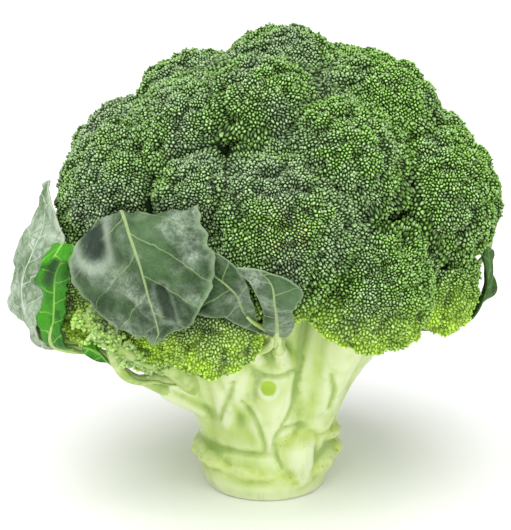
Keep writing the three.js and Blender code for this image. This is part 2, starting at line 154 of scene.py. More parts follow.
# Side shoots, cut stubs and the feet of leaf stems: places in millimetres, then the radii at both ends.
SHOOTS = [
    ([(-9, -10, 14), (-12, -19, 32), (-14, -26, 45), (-18, -31, 60), (-24, -37, 72)], 5.5, 4.6),
    ([(-12, -19, 34), (-12, -25, 42), (-7, -30, 52), (-1, -33, 62)], 4.4, 3.5),
    ([(0, -20, 40), (0.6, -34, 47.5)], 3.6, 3.4),
    ([(12, -17, 28), (11, -20, 19), (12, -16, 8)], 6, 6),
    ([(-2, -8, 30), (-2, -18, 44), (-3, -33, 56.5), (-5, -46, 65)], 5.5, 2.6),
    ([(5, -8, 30), (6, -18, 44), (6, -32, 56.5), (4, -46, 65)], 5.5, 2.6),
    ([(12, -10, 20), (18, -18, 40), (23, -28, 57), (28, -39, 74)], 9, 9),
    ([(-18, -14, 36), (-25, -20, 42), (-33.5, -27.5, 49)], 4.5, 2.7),
    ([(-18, -12, 30), (-27, -19, 37.5), (-36.5, -25.8, 44.2)], 4, 2.4),
    ([(-20, 2, 36), (-28, 1, 41), (-38, 1, 48.5)], 4, 2.7),
    ([(20, -1, 36), (28, -1, 42), (37.5, -1, 50)], 4, 2.7),
    ([(18, 12, 38), (25, 17, 44), (34, 22, 50.5)], 4, 2.7),
]


def tubes(paths, fineness):
    """Round tapered stems with closed ends. Each path has its points and the radius at each."""
    curve = bpy.data.curves.new("tubes", "CURVE")
    curve.dimensions = "3D"
    curve.bevel_depth = 1.0
    curve.bevel_resolution = fineness
    curve.use_fill_caps = True
    for points, radii in paths:
        spline = curve.splines.new("POLY")
        spline.points.add(len(points) - 1)
        for dot, point, radius in zip(spline.points, points, radii):
            dot.co = (*point, 1)
            dot.radius = radius
    holder = bpy.data.objects.new("tubes", curve)
    bpy.context.scene.collection.objects.link(holder)
    mesh = bpy.data.meshes.new_from_object(holder.evaluated_get(bpy.context.evaluated_depsgraph_get()))
    bpy.data.objects.remove(holder)
    bpy.data.curves.remove(curve)
    bm = bmesh.new()
    bm.from_mesh(mesh)
    bpy.data.meshes.remove(mesh)
    return bm


def on_curve(points, along):
    """Places on a smooth curve through the points, with an even share of it between each two."""
    points = np.array(points, dtype=float)
    points = np.vstack([2 * points[0] - points[1], points, 2 * points[-1] - points[-2]])
    place = along * (len(points) - 3)
    k = np.clip(place.astype(int), 0, len(points) - 4)
    t = (place - k)[:, None]
    p0, p1, p2, p3 = (points[k + step] for step in range(4))
    pairs = ((p0, p1), (p1, p2), (p2, p3))
    d0, d1, d2 = (np.sqrt(np.linalg.norm(q - p, axis=1))[:, None] for p, q in pairs)
    out = ((p1 - p0) / d0 - (p2 - p0) / (d0 + d1) + (p2 - p1) / d1) * d1
    into = ((p2 - p1) / d1 - (p3 - p1) / (d1 + d2) + (p3 - p2) / d2) * d1
    return p1 + t * out + t**2 * (3 * (p2 - p1) - 2 * out - into) + t**3 * (2 * (p1 - p2) + out + into)


def limb(floret):
    """The path of the limb that carries a floret, and its radii."""
    foot = floret.centre - UNDERSIDE_DEPTH * floret.radius * floret.axis
    tip = foot + LIMB_TIP * floret.axis
    steps = np.linspace(0, 1, LIMB_STEPS)
    if floret.rise > STEEP_RISE:
        points = [(0.1 * foot.x, 0.1 * foot.y, LIMB_START), foot, tip]
        return on_curve(points, steps), np.linspace(0.38, 0.34, LIMB_STEPS) * floret.radius
    side = math.hypot(foot.x, foot.y)
    lean = min(1, side / LIMB_TURN)

    def out(distance, height):
        return Vector((foot.x / side * distance, foot.y / side * distance, height))

    points = [
        out(9 * MM * lean, 18 * MM),
        out(16.5 * MM * lean, 33 * MM),
        out(13.5 * MM * lean + 0.3 * side, 19 * MM + 0.42 * foot.z),
        foot - 2 * MM * floret.axis,
        tip,
    ]
    radii = np.linspace(0.4 * floret.radius + 1.5 * MM, 0.4 * floret.radius, LIMB_STEPS)
    return on_curve(points, steps), radii


def add_lip(bm, turn, height, sizes, out, tilt):
    """A lens with a sharp rim that stands out of the stem, fuller above or below."""
    lip = bmesh.ops.create_icosphere(bm, subdivisions=4, radius=1)["verts"]
    for vert in lip:
        around, away, up = vert.co.x, -vert.co.y, vert.co.z
        thick = sizes[1] if up > 0 else sizes[2]
        vert.co = Vector((around * sizes[0], -away * sizes[3], up * abs(up)**LIP_EDGE * thick)) * MM
        vert.co.y += LIP_CURL * vert.co.x**2 / (out * MM)
    place = Matrix.Rotation(math.radians(turn), 4, "Z") @ Matrix.Translation(Vector((0, -out, height)) * MM)
    bmesh.ops.transform(bm, matrix=place @ Matrix.Rotation(math.radians(tilt), 4, "Y"), verts=lip)


def add_node(tree, kind, *values, **settings):
    """A shader node. Each value is a socket to link to, a value to set, or None to leave it."""
    node = tree.nodes.new("ShaderNode" + kind)
    for name, value in settings.items():
        setattr(node, name, value)
    for socket, value in zip(node.inputs, values):
        if isinstance(value, bpy.types.NodeSocket):
            tree.links.new(value, socket)
        elif value is not None:
            socket.default_value = value
    return node


def maths(tree, operation, *values):
    return add_node(tree, "Math", *values, operation=operation).outputs[0]


def times(tree, first, second):
    return maths(tree, "MULTIPLY", first, second)


def ramp(tree, value, low, high, start=0.0, end=1.0):
    """The value spread smoothly from start to end as it goes from low to high."""
    node = add_node(tree, "MapRange", value, low, high, start, end, interpolation_type="SMOOTHSTEP")
    return node.outputs[0]


def blended(tree, factor, first, second):
    """The first colour where the factor is 0, and the second where it is 1."""
    node = tree.nodes.new("ShaderNodeMix")
    node.data_type = "RGBA"
    for socket, value in ((node.inputs[0], factor), (node.inputs[6], first), (node.inputs[7], second)):
        if isinstance(value, bpy.types.NodeSocket):
            tree.links.new(value, socket)
        elif isinstance(value, tuple):
            socket.default_value = (*value, 1.0)
        else:
            socket.default_value = value
    return node.outputs[2]


def tinted(tree, colour, other, mask, share):
    """The colour moved towards another by a share of the mask."""
    return blended(tree, times(tree, mask, share), colour, other)


def attribute(tree, name):
    """A value that the mesh keeps at its points."""
    return add_node(tree, "Attribute", attribute_name=name).outputs["Fac"]


def noise_on(tree, vector, scale, detail=3.0, roughness=0.55):
    node = add_node(tree, "TexNoise", vector)
    for name, value in (("Scale", scale), ("Detail", detail), ("Roughness", roughness)):
        node.inputs[name].default_value = value
    return node.outputs["Fac"]


def on_object(tree):
    return add_node(tree, "TexCoord").outputs["Object"]


def new_group(name, inputs, outputs):
    """A node group with named inputs and outputs, and its input and output nodes."""
    group = bpy.data.node_groups.new(name, "ShaderNodeTree")
    for label, kind, value in inputs:
        socket = group.interface.new_socket(label, in_out="INPUT", socket_type=kind)
        if value is not None:
            socket.default_value = value
    for label, kind in outputs:
        group.interface.new_socket(label, in_out="OUTPUT", socket_type=kind)
    return group, group.nodes.new("NodeGroupInput"), group.nodes.new("NodeGroupOutput")


def wax_group():
    """The waxy bloom on every surface of the plant, in soft patches broken up by fine specks."""
    inputs = [
        ("Patch scale", "NodeSocketFloat", 60.0),
        ("Fleck scale", "NodeSocketFloat", 900.0),
    ]
    group, into, out = new_group("wax", inputs, [("Bloom", "NodeSocketFloat")])
    place = on_object(group)
    patches = add_node(group, "TexNoise", place)
    group.links.new(into.outputs["Patch scale"], patches.inputs["Scale"])
    flecks = add_node(group, "TexNoise", place)
    group.links.new(into.outputs["Fleck scale"], flecks.inputs["Scale"])
    soft = ramp(group, patches.outputs["Fac"], 0.38, 0.68)
    fine = ramp(group, flecks.outputs["Fac"], 0.35, 0.7)
    broken = maths(group, "MULTIPLY_ADD", fine, 0.45, 0.55)
    group.links.new(times(group, soft, broken), out.inputs["Bloom"])
    return group


WAX = wax_group()


def wax(tree, patch_scale, fleck_scale):
    node = tree.nodes.new("ShaderNodeGroup")
    node.node_tree = WAX
    node.inputs["Patch scale"].default_value = patch_scale
    node.inputs["Fleck scale"].default_value = fleck_scale
    return node.outputs["Bloom"]


def new_material(name, roughness, specular):
    material = bpy.data.materials.new(name)
    material.use_nodes = True
    shader = material.node_tree.nodes["Principled BSDF"]
    shader.inputs["Roughness"].default_value = roughness
    shader.inputs["Specular IOR Level"].default_value = specular
    return material, material.node_tree, shader


def bumped(tree, shader, height, strength, distance):
    node = add_node(tree, "Bump")
    node.inputs["Strength"].default_value = strength
    node.inputs["Distance"].default_value = distance
    tree.links.new(height, node.inputs["Height"])
    tree.links.new(node.outputs["Normal"], shader.inputs["Normal"])


STALK_GREEN = (0.46, 0.6, 0.15)
STALK_PALE = (0.58, 0.7, 0.26)
# The pale colour of the stalk's waxy bloom, also painted along its ridges as a highlight.
STALK_BLOOM_AND_HIGHLIGHT = (0.76, 0.83, 0.55)
# The dark colour of the stalk's fine streaks, also painted into its clefts and creases as shade.
STALK_STREAK_AND_SHADE = (0.2, 0.34, 0.05)
STALK_SCAR = (0.5, 0.62, 0.1)
STALK_SPECK = (0.24, 0.3, 0.04)
STALK_FLESH = (0.8, 0.84, 0.6)
CUT_SHOOT = Vector((0.6, -34.5, 47.7)) * MM  # a round scar where a side shoot was cut
CUT_SHOOT_RADII = (3.1 * MM, 2.3 * MM)
CUT_SHOOT_GREEN = (0.4, 0.6, 0.04)


def stalk_skin():
    material, tree, shader = new_material("stalk_skin", 0.34, 0.45)
    place = on_object(tree)
    along = add_node(tree, "Mapping", place)
    along.inputs["Scale"].default_value = (1.0, 1.0, 0.14)
    streaks = noise_on(tree, along.outputs[0], 260.0, 4.0)
    clouds = noise_on(tree, place, 40.0, 3.0)
    pale = blended(tree, ramp(tree, clouds, 0.36, 0.64), STALK_GREEN, STALK_PALE)
    # Painted highlight: convex ridges of the stalk are tinted pale.
    pale = tinted(tree, pale, STALK_BLOOM_AND_HIGHLIGHT, attribute(tree, "ridge_highlight"), 0.75)
    streaked = blended(tree, ramp(tree, streaks, 0.5, 0.8, 0.0, 0.3), pale, STALK_STREAK_AND_SHADE)
    specks = add_node(tree, "TexVoronoi", place, feature="F1")
    specks.inputs["Scale"].default_value = 420.0
    scar = attribute(tree, "scar")
    speckled = times(tree, ramp(tree, specks.outputs["Distance"], 0.26, 0.12), scar)
    # Painted shade: the hollows between limbs and the creases are darkened.
    deep = blended(tree, attribute(tree, "cleft_shade"), streaked, STALK_STREAK_AND_SHADE)
    worn = tinted(tree, deep, STALK_SCAR, scar, 0.6)
    worn = tinted(tree, worn, STALK_SPECK, speckled, 0.55)
    cut = blended(tree, attribute(tree, "cut"), worn, STALK_FLESH)
    bloom = wax(tree, 120.0, 700.0)
    frosted = tinted(tree, cut, STALK_BLOOM_AND_HIGHLIGHT, bloom, 0.2)
    near = add_node(tree, "VectorMath", place, tuple(CUT_SHOOT), operation="DISTANCE")
    mark = ramp(tree, near.outputs["Value"], *CUT_SHOOT_RADII)
    tree.links.new(blended(tree, mark, frosted, CUT_SHOOT_GREEN), shader.inputs["Base Color"])
    tree.links.new(ramp(tree, bloom, 0.0, 1.0, 0.28, 0.46), shader.inputs["Roughness"])
    bumped(tree, shader, streaks, 0.12, 0.4 * MM)
    return material


def applied(piece):
    """Puts a piece's modifiers into its mesh."""
    shown = piece.evaluated_get(bpy.context.evaluated_depsgraph_get())
    piece.data = bpy.data.meshes.new_from_object(shown)
    piece.modifiers.clear()


def new_piece(name, bm, materials):
    """An object that holds the bmesh, shaded smooth."""
    for face in bm.faces:
        face.smooth = True
    mesh = bpy.data.meshes.new(name)
    bm.to_mesh(mesh)
    bm.free()
    for material in materials:
        mesh.materials.append(material)
    piece = bpy.data.objects.new(name, mesh)
    bpy.context.scene.collection.objects.link(piece)
    return piece


def keep_values(mesh, name, values):
    """Keeps one value for each point of the mesh, for its material to read."""
    layer = mesh.attributes.get(name) or mesh.attributes.new(name, "FLOAT", "POINT")
    layer.data.foreach_set("value", np.asarray(values, dtype=np.float32))


def hollows(bm, spread):
    """How far each point lies below its neighbours, evened out over the points around it."""
    values = []
    for vert in bm.verts:
        total = sum((edge.other_vert(vert).co for edge in vert.link_edges), Vector())
        values.append((total / len(vert.link_edges) - vert.co).dot(vert.normal))
    for _ in range(spread):
        values = [
            (values[vert.index] + sum(values[edge.other_vert(vert).index] for edge in vert.link_edges))
            / (1 + len(vert.link_edges))
            for vert in bm.verts
        ]
    return np.array(values)


def scarred(points):
    """How far each point of the stem belongs to the rim of a lip, from 0 to 1."""
    share = np.zeros(len(points))
    for turn, height, sizes, out, tilt in LIPS:
        turned = Matrix.Rotation(math.radians(turn), 3, "Z") @ Matrix.Rotation(math.radians(tilt), 3, "Y")
        middle = Matrix.Rotation(math.radians(turn), 3, "Z") @ Vector((0, -out, height)) * MM
        around, away, up = ((points - np.array(middle)) @ np.array(turned)).T / MM
        away -= LIP_CURL * around**2 / out
        reach = np.sqrt((around / sizes[0])**2 + (away / sizes[3])**2)
        near = np.clip(1.5 - np.abs(up) / 2.5, 0, 1) * np.clip(3 * reach - 1.6, 0, 1)
        share = np.maximum(share, near * (reach < 1.3) * (away < 0))
    return share


def creased(points):
    """How far each point of the stem lies in a crease, from 0 to 1."""
    share = np.zeros(len(points))
    front = points[:, 1] < CREASE_FRONT
    for line in CREASES:
        path = on_curve(line, np.linspace(0, 1, 40)) * MM
        away = np.linalg.norm(points[:, None, ::2] - path, axis=2)
        width = np.interp(np.argmin(away, axis=1), [0, 12, 27, 39], [0.35, 0.8, 0.8, 0.35]) * MM
        share = np.maximum(share, np.exp(-(away.min(axis=1) / width)**2) * front)
    return share


def build_stalk():
    paths = [limb(floret) for floret in florets]
    steps = np.linspace(0, 1, 8)
    paths.append(STEM_CORE)
    for points, root, tip in SHOOTS:
        paths.append((on_curve(points, steps) * MM, np.linspace(root, tip, len(steps)) * MM))
    bm = tubes(paths, 10)
    outline = [bm.verts.new(Vector((reach, 0, height)) * MM) for reach, height in STEM_PROFILE]
    edges = [bm.edges.new(pair) for pair in zip(outline, outline[1:])]
    around = dict(cent=(0, 0, 0), axis=(0, 0, 1), angle=2 * math.pi, steps=64, use_merge=True)
    bmesh.ops.spin(bm, geom=outline + edges, **around)
    for row in LIPS:
        add_lip(bm, *row)
    bmesh.ops.remove_doubles(bm, verts=bm.verts, dist=0.01 * MM)
    piece = new_piece("stalk_flesh", bm, [stalk_skin()])
    remesh = piece.modifiers.new("Remesh", "REMESH")
    remesh.mode = "VOXEL"
    remesh.voxel_size = STALK_VOXEL
    smooth = piece.modifiers.new("Smooth", "SMOOTH")
    smooth.factor = 0.5
    smooth.iterations = 3
    applied(piece)
    triangles = 2 * len(piece.data.polygons)
    thinned = piece.modifiers.new("Decimate", "DECIMATE")
    thinned.ratio = min(1, STALK_SKIN_TRIANGLES / triangles)
    bm = bmesh.new()
    bm.from_mesh(piece.data)
    bm.verts.index_update()
    places = np.array([vert.co for vert in bm.verts])
    scars, creases = scarred(places), creased(places)
    for vert, scar, crease in zip(bm.verts, scars, creases):
        low = Vector((vert.co.x, vert.co.y, vert.co.z * 0.25))
        lumps = field.noise(vert.co * LUMP_FINENESS) * LUMP_HEIGHT
        lumps += field.noise(low * GRAIN_FINENESS) * GRAIN_HEIGHT
        lumps += SCAR_ROUGHNESS * field.noise(vert.co * SCAR_FINENESS) * scar - CREASE_DEPTH * crease
        if vert.co.z > CUT_HEIGHT:
            vert.co += vert.normal * lumps * MM
        else:
            vert.co.z = max(0, vert.co.z - 0.3 * MM)
    bm.normal_update()
    # How hollow or ridged each point is, for the painted shade in hollows and creases and the painted
    # highlight on ridges.
    depth = hollows(bm, 4) / STALK_VOXEL / 0.03
    bm.to_mesh(piece.data)
    keep_values(piece.data, "cleft_shade", np.maximum(np.clip(depth - 0.45, 0, 1), 0.8 * creases) * 0.75)
    keep_values(piece.data, "ridge_highlight", np.clip(-depth, 0, 1))
    keep_values(piece.data, "cut", [vert.co.z < 0.5 * MM for vert in bm.verts])
    keep_values(piece.data, "scar", scars)
    bm.free()
    applied(piece)
    piece.data.shade_smooth()
    return piece


stalk = build_stalk()
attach(stalk, "root")
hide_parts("stalk")


# Florets. Each is a dome of close-set flower buds at the end of a limb, and presses against its
# neighbours. The buds are blue-green with pale tips of bloom and painted highlight, and stand on a
# golden-angle spiral in clumps, with painted shade in the gaps between them and on cleft walls.
GOLDEN_ANGLE = math.pi * (3 - math.sqrt(5))
GAP = 0.3 * MM  # between neighbours
UNDERSIDE_RADIUS = 1.7
KNOTS = (12 * MM, 7 * MM, 2.2 * MM)  # spacing, radius and rise of the swellings on a dome
CLUMPS = (4.3 * MM, 2.8 * MM, 2.5 * MM)  # the same of the clumps of buds on them
BUD_SPACING = 1.22 * MM
BUD_LEVEL = -1.6 * MM
BUD_HEIGHT = (0.55, 1.1)  # in millimetres, and so are the next three
PROUD_HEIGHT = (0.5, 1.0)  # the necks that some buds stand on
PROUD_TIP = 0.25
PROUD_INSET = 0.05
PROUD_WIDTH = (0.66, 0.86)
PROUD_ONE_IN = 3
# Painted shade: from this share on, buds near a neighbouring floret are darkened.
WALL_SHADE = 0.82  # how near to its neighbour, as a share, a floret's buds begin to darken
PLAIN_SPACING = 5 * MM
BORDER = 1.15
FILL = np.array((69.5, 69.5, 64)) * MM  # half sizes of the mass that fills the clefts between florets
FILL_FOOT = 72 * MM
FILL_FADE = 25 * MM
FILL_SOFT = 1.2 * MM
FILL_REACH = 1.04
# Painted shade in the gaps between buds, near black.
BUD_GAP_SHADE = (0.008, 0.02, 0.004)
BUD_BLUE = (0.17, 0.27, 0.12)
BUD_GREEN = (0.15, 0.34, 0.03)
BUD_YOUNG = (0.36, 0.55, 0.05)
# Painted shade in the gaps between young buds.
BUD_YOUNG_GAP_SHADE = (0.2, 0.35, 0.025)
# The pale tips of the buds: their waxy bloom, with a painted highlight.
BUD_FROST_AND_HIGHLIGHT = (0.66, 0.82, 0.52)
BUD_YELLOW = (0.34, 0.33, 0.03)
UNDER_GREEN = (0.42, 0.55, 0.2)
YOUTH_TOP = 90 * MM
YOUTH_FADE = 26 * MM
OPENING = Vector((7, -78, 112)) * MM  # where a few buds at the front have begun to yellow
OPENING_RADII = (13 * MM, 3 * MM)


def unit(rows):
    return rows / np.linalg.norm(rows, axis=1)[:, None]


def meet(floret):
    """Sets the planes at which a floret's skin ends between it and its neighbours."""
    normals, walls = [], []
    for other in florets:
        if other is floret:
            continue
        span = (other.centre - floret.centre).length
        normal = (other.centre - floret.centre) / span
        split = (span**2 + floret.radius**2 - other.radius**2) / (2 * span)
        normals.append(normal)
        walls.append(normal.dot(floret.centre - floret.heart) + split - GAP / 2)
    floret.wall_normals = np.array(normals)
    floret.walls = np.array(walls)


def spiral(floret, spacing, jitter=0.0, seed=0):
    """Unit vectors spread evenly over the dome's ball, each moved a little where asked."""
    count = round(4 * math.pi * floret.radius**2 / (0.866 * spacing**2))
    k = np.arange(count)
    height = 1 - (2 * k + 1) / count
    ring = np.sqrt(1 - height**2)
    turn = k * GOLDEN_ANGLE
    points = np.stack([ring * np.cos(turn), ring * np.sin(turn), height], axis=1)
    draw = np.random.default_rng(seed)
    points += draw.uniform(-jitter, jitter, points.shape) * spacing / floret.radius
    return unit(points) @ np.array(floret.turned.to_matrix()).T


def exit_from_ball(floret, rays, centre, radius):
    """How far each ray from the heart runs before it leaves a ball."""
    to_centre = np.array(centre - floret.heart)
    along = rays @ to_centre
    return along + np.sqrt(radius**2 - to_centre @ to_centre + along**2)


def reaches(floret, rays):
    """How far each ray runs to the dome, the furthest that the skin may stand, and to the underside."""
    under = UNDERSIDE_RADIUS * floret.radius
    under_centre = floret.centre + (under - floret.depth) * floret.under_axis
    dome = exit_from_ball(floret, rays, floret.centre, floret.radius - KNOTS[2])
    start = np.array(floret.heart - CROWN_CENTRE) / FILL
    slant = rays / FILL
    square = (slant**2).sum(axis=1)
    middle = slant @ start / square
    fill = np.sqrt(np.maximum(0, middle**2 - (start @ start - 1) / square)) - middle
    fill = np.minimum(fill, FILL_REACH * floret.radius)
    height = floret.heart.z + fill * rays[:, 2]
    share = np.clip((height - FILL_FOOT) / FILL_FADE, 0, 1)
    both = np.logaddexp(dome / FILL_SOFT, fill / FILL_SOFT) * FILL_SOFT
    dome = dome + share * (both - dome)
    limit = exit_from_ball(floret, rays, under_centre, under)
    facing = rays @ floret.wall_normals.T
    with np.errstate(divide="ignore"):
        walls = np.where(facing > 1e-6, floret.walls / facing, np.inf)
    return dome, np.minimum(limit, walls.min(axis=1)), limit


def swelling(floret, outward, points, radius, rise):
    """The height of the nearest low swelling, for each direction from the dome's centre."""
    nearest = np.full(len(outward), -1.0)
    for start in range(0, len(points), 200):
        nearest = np.maximum(nearest, (outward @ points[start:start + 200].T).max(axis=1))
    away = np.sqrt(np.maximum(0, 2 - 2 * nearest)) * floret.radius / radius
    return rise * np.maximum(0, 1 - away**2)


def point_values(mesh, name):
    """The places or the normals of a mesh's points."""
    values = np.empty(3 * len(mesh.vertices))
    mesh.vertices.foreach_get(name, values)
    return values.reshape(-1, 3)


def bud_skin():
    material, tree, shader = new_material("bud_skin", 0.62, 0.14)
    place = on_object(tree)
    level = attribute(tree, "level")
    tone = attribute(tree, "tone")
    patches = ramp(tree, noise_on(tree, place, 120.0, 3.0), 0.36, 0.6, 0.5, 1.0)
    youth = times(tree, attribute(tree, "youth"), patches)
    clouds = ramp(tree, noise_on(tree, place, 42.0, 3.0), 0.36, 0.62)
    sideways = add_node(tree, "SeparateXYZ", place).outputs["X"]
    # Bud colour turns greener towards the right side.
    greener_to_the_right = ramp(tree, sideways, -30 * MM, 70 * MM, -0.25, 0.55)
    green = add_node(tree, "Clamp", maths(tree, "ADD", clouds, greener_to_the_right)).outputs[0]
    body = blended(tree, green, BUD_BLUE, BUD_GREEN)
    young = blended(tree, youth, body, BUD_YOUNG)
    near = add_node(tree, "VectorMath", place, tuple(OPENING), operation="DISTANCE").outputs["Value"]
    spot = times(tree, ramp(tree, near, *OPENING_RADII), ramp(tree, tone, 0.45, 0.9))
    opening = tinted(tree, young, BUD_YELLOW, spot, 0.7)
    mature = maths(tree, "MULTIPLY_ADD", youth, -0.75, 1.0)
    painted_wall_shade = times(tree, attribute(tree, "painted_wall_shade"), mature)
    # Painted light and shade over a random tone: tops of clumps lighter, buds low in clumps and on cleft
    # walls darker.
    light = maths(tree, "MULTIPLY_ADD", tone, 0.9, 0.95)
    light = times(tree, light, ramp(tree, attribute(tree, "clump"), 0.1, 0.75, 0.5, 1.1))
    light = times(tree, light, maths(tree, "MULTIPLY_ADD", painted_wall_shade, -0.6, 1.0))
    varied = add_node(tree, "HueSaturation", 0.5, 1.0, light, 1.0, opening).outputs[0]
    # The pale tips are bloom with a painted highlight, less on young buds and on cleft walls.
    frost_and_highlight = times(tree, ramp(tree, level, 0.35, 0.95), ramp(tree, tone, 0.0, 0.8, 0.15, 0.85))
    frost_and_highlight = times(tree, frost_and_highlight, mature)
    frost_and_highlight = times(tree, frost_and_highlight, maths(tree, "MULTIPLY_ADD", painted_wall_shade, -0.9, 1.0))
    tipped = blended(tree, frost_and_highlight, varied, BUD_FROST_AND_HIGHLIGHT)
    # Painted shade: the foot of every bead, in the gaps between buds, goes dark.
    gap_shade = blended(tree, youth, BUD_GAP_SHADE, BUD_YOUNG_GAP_SHADE)
    gaps = blended(tree, ramp(tree, level, 0.08, 0.54), gap_shade, tipped)
    under = blended(tree, attribute(tree, "underside"), gaps, UNDER_GREEN)
    tree.links.new(under, shader.inputs["Base Color"])
    bumped(tree, shader, noise_on(tree, place, 2600.0, 2.0), 0.25, 0.1 * MM)
    return material


def build_buds(floret, material, number):
    """A floret's skin: a hull of points, in which every bud's point becomes a raised bead."""
    knots = spiral(floret, KNOTS[0])
    clumps = spiral(floret, CLUMPS[0], 0.4, number)

    def past_limit(rays):
        dome, limit, _ = reaches(floret, rays)
        return dome / limit

    fine = spiral(floret, BUD_SPACING, 0.3, 100 + number)
    past = past_limit(fine)
    rays = fine[past < 1]
    plain = spiral(floret, PLAIN_SPACING)
    corners = [*fine[(past >= 1) & (past < BORDER)], *plain[past_limit(plain) >= BORDER]]
    bm = bmesh.new()
    bud = bm.verts.layers.float.new("bud")
    for ray in rays:
        bm.verts.new(ray)[bud] = 1
    for ray in corners:
        bm.verts.new(ray)
    bmesh.ops.convex_hull(bm, input=bm.verts)
    bmesh.ops.recalc_face_normals(bm, faces=bm.faces)
    around = [edge for edge in bm.edges if edge.verts[0][bud] or edge.verts[1][bud]]
    bmesh.ops.subdivide_edges(bm, edges=around, cuts=1, use_grid_fill=True)
    unused = [vert for vert in bm.verts if not vert.link_faces]
    middles = [vert for vert, _ in zip(bm.verts, rays) if vert.link_faces]
    feet = [bmesh.utils.face_join(vert.link_faces) for vert in middles]
    bmesh.ops.delete(bm, geom=unused, context="VERTS")

    rays = unit(np.array([vert.co for vert in bm.verts]))
    dome, limit, _ = reaches(floret, rays)
    heart = np.array(floret.heart)
    outward = unit(heart + rays * dome[:, None] - np.array(floret.centre))
    clump_rise = swelling(floret, outward, clumps, *CLUMPS[1:])
    relief = swelling(floret, outward, knots, *KNOTS[1:]) + clump_rise
    reach = np.where(dome < limit, np.minimum(limit, dome + relief + BUD_LEVEL), limit)
    clump = bm.verts.layers.float.new("clump")
    for vert, place, rise in zip(bm.verts, heart + rays * reach[:, None], clump_rise):
        vert.co = place
        vert[clump] = rise / CLUMPS[2]
    bm.normal_update()

    level = bm.verts.layers.float.new("level")
    tone = bm.verts.layers.float.new("tone")
    draw = random.Random(number)
    proud = draw.sample(feet, len(feet) // PROUD_ONE_IN)
    bmesh.ops.inset_individual(bm, faces=proud, thickness=PROUD_INSET * MM, depth=0.0)
    for face in proud:
        middle = face.calc_center_median()
        width, height = draw.uniform(*PROUD_WIDTH), draw.uniform(*PROUD_HEIGHT) * MM
        for vert in face.verts:
            vert.co = middle + (vert.co - middle) * width + face.normal * height
            vert[level] = 0.75
    tops = bmesh.ops.poke(bm, faces=feet, offset=0, center_mode="MEAN")
    bm.normal_update()
    for vert in tops["verts"]:
        raised = any(edge.other_vert(vert)[level] for edge in vert.link_edges)
        vert.co += vert.normal * (PROUD_TIP * MM if raised else draw.uniform(*BUD_HEIGHT) * MM)
        vert[level] = 1.0
        vert[tone] = draw.random()
        vert[clump] = max(edge.other_vert(vert)[clump] for edge in vert.link_edges)
        for edge in vert.link_edges:
            edge.other_vert(vert)[tone] = vert[tone]
    for edge in bm.edges:
        edge.smooth = any(vert[level] for vert in edge.verts)

    piece = new_piece("buds_" + floret.name, bm, [material])
    places = point_values(piece.data, "co")
    lean = (places - np.array(floret.centre)) @ np.array(floret.axis) / floret.radius
    low = np.clip((YOUTH_TOP - places[:, 2]) / YOUTH_FADE, 0, 1)
    left = np.clip((-places[:, 0] - 5 * MM) / (40 * MM), 0, 0.3)
    keep_values(piece.data, "youth", np.clip((1.7 - lean + left) * low, 0, 1))
    rays = unit(places - heart)
    dome, limit, under = reaches(floret, rays)
    keep_values(piece.data, "underside", (dome > limit) & (limit == under))
    facing = (rays * point_values(piece.data, "normal")).sum(axis=1)
    # Painted shade for buds near a neighbouring floret and on steep cleft walls.
    painted_wall_shade = np.clip((dome / limit - WALL_SHADE) / (1 - WALL_SHADE), 0, 1) * (limit < under)
    keep_values(piece.data, "painted_wall_shade", np.maximum(painted_wall_shade, np.clip((0.8 - facing) / 0.3, 0, 1)))
    return piece


for floret in florets:
    meet(floret)
skin = bud_skin()
for number, floret in enumerate(florets):
    buds = build_buds(floret, skin, number)
    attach(buds, "root")
    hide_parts("floret_" + floret.name)


# Branchlets. Under each floret its limb parts into a fan of thin pale stems, which spread out below
# the buds. A longer side branch runs out at the lower left, with loose sprigs of young buds along it.
# The stems in a ring, where they start and end as shares of the radius, and their radii in millimetres.
FAN = ((7, 0.42, 0.74, 1.9, 1.1), (13, 0.62, 0.93, 1.3, 0.6))
FAN_FOOT = 6 * MM
FAN_RISE = math.radians(16)  # florets below this show their undersides, so they have fans
BRANCHLET_GREEN = (0.34, 0.5, 0.11)
BRANCHLET_PALE = (0.56, 0.66, 0.27)
BRANCHLET_FLECK = (0.62, 0.66, 0.2)
BRANCH = [(-26, -24, 45), (-32, -36, 55), (-39, -49, 62), (-47, -55, 67.5), (-54, -56, 73), (-60, -53, 79)]
SPRIGS = 100
SPRIG_BUDS = 8
SPRIG_BUD_RADII = (0.55, 0.8)


def under_skin(floret, share, turn):
    """The place on a floret's underside at a share of its radius from the axis."""
    sideways = floret.turned @ Vector((math.cos(turn), math.sin(turn), 0))
    under = UNDERSIDE_RADIUS * floret.radius
    depth = under - floret.depth - math.sqrt(under**2 - (share * floret.radius)**2)
    place = floret.centre + depth * floret.under_axis + share * floret.radius * sideways
    ray = (place - floret.heart).normalized()
    dome, limit, _ = reaches(floret, np.array([ray]))
    return floret.heart + ray * (min(dome[0], limit[0]) + 0.2 * MM)


def fan(floret, draw):
    stems = []
    foot = floret.centre - (UNDERSIDE_DEPTH * floret.radius + FAN_FOOT) * floret.axis
    for count, start, end, root, tip in FAN:
        for k in range(count):
            turn = 2 * math.pi * (k + draw.uniform(-0.25, 0.25)) / count
            near = under_skin(floret, start, turn)
            points = [foot.lerp(near, 0.35), near, under_skin(floret, (start + end) / 2, turn)]
            points.append(under_skin(floret, end, turn + draw.uniform(-0.12, 0.12)))
            size = draw.uniform(0.85, 1.15) * MM
            path = on_curve(points, np.linspace(0, 1, 6))
            stems.append((path, np.linspace(root * size, tip * size, 6)))
    return stems


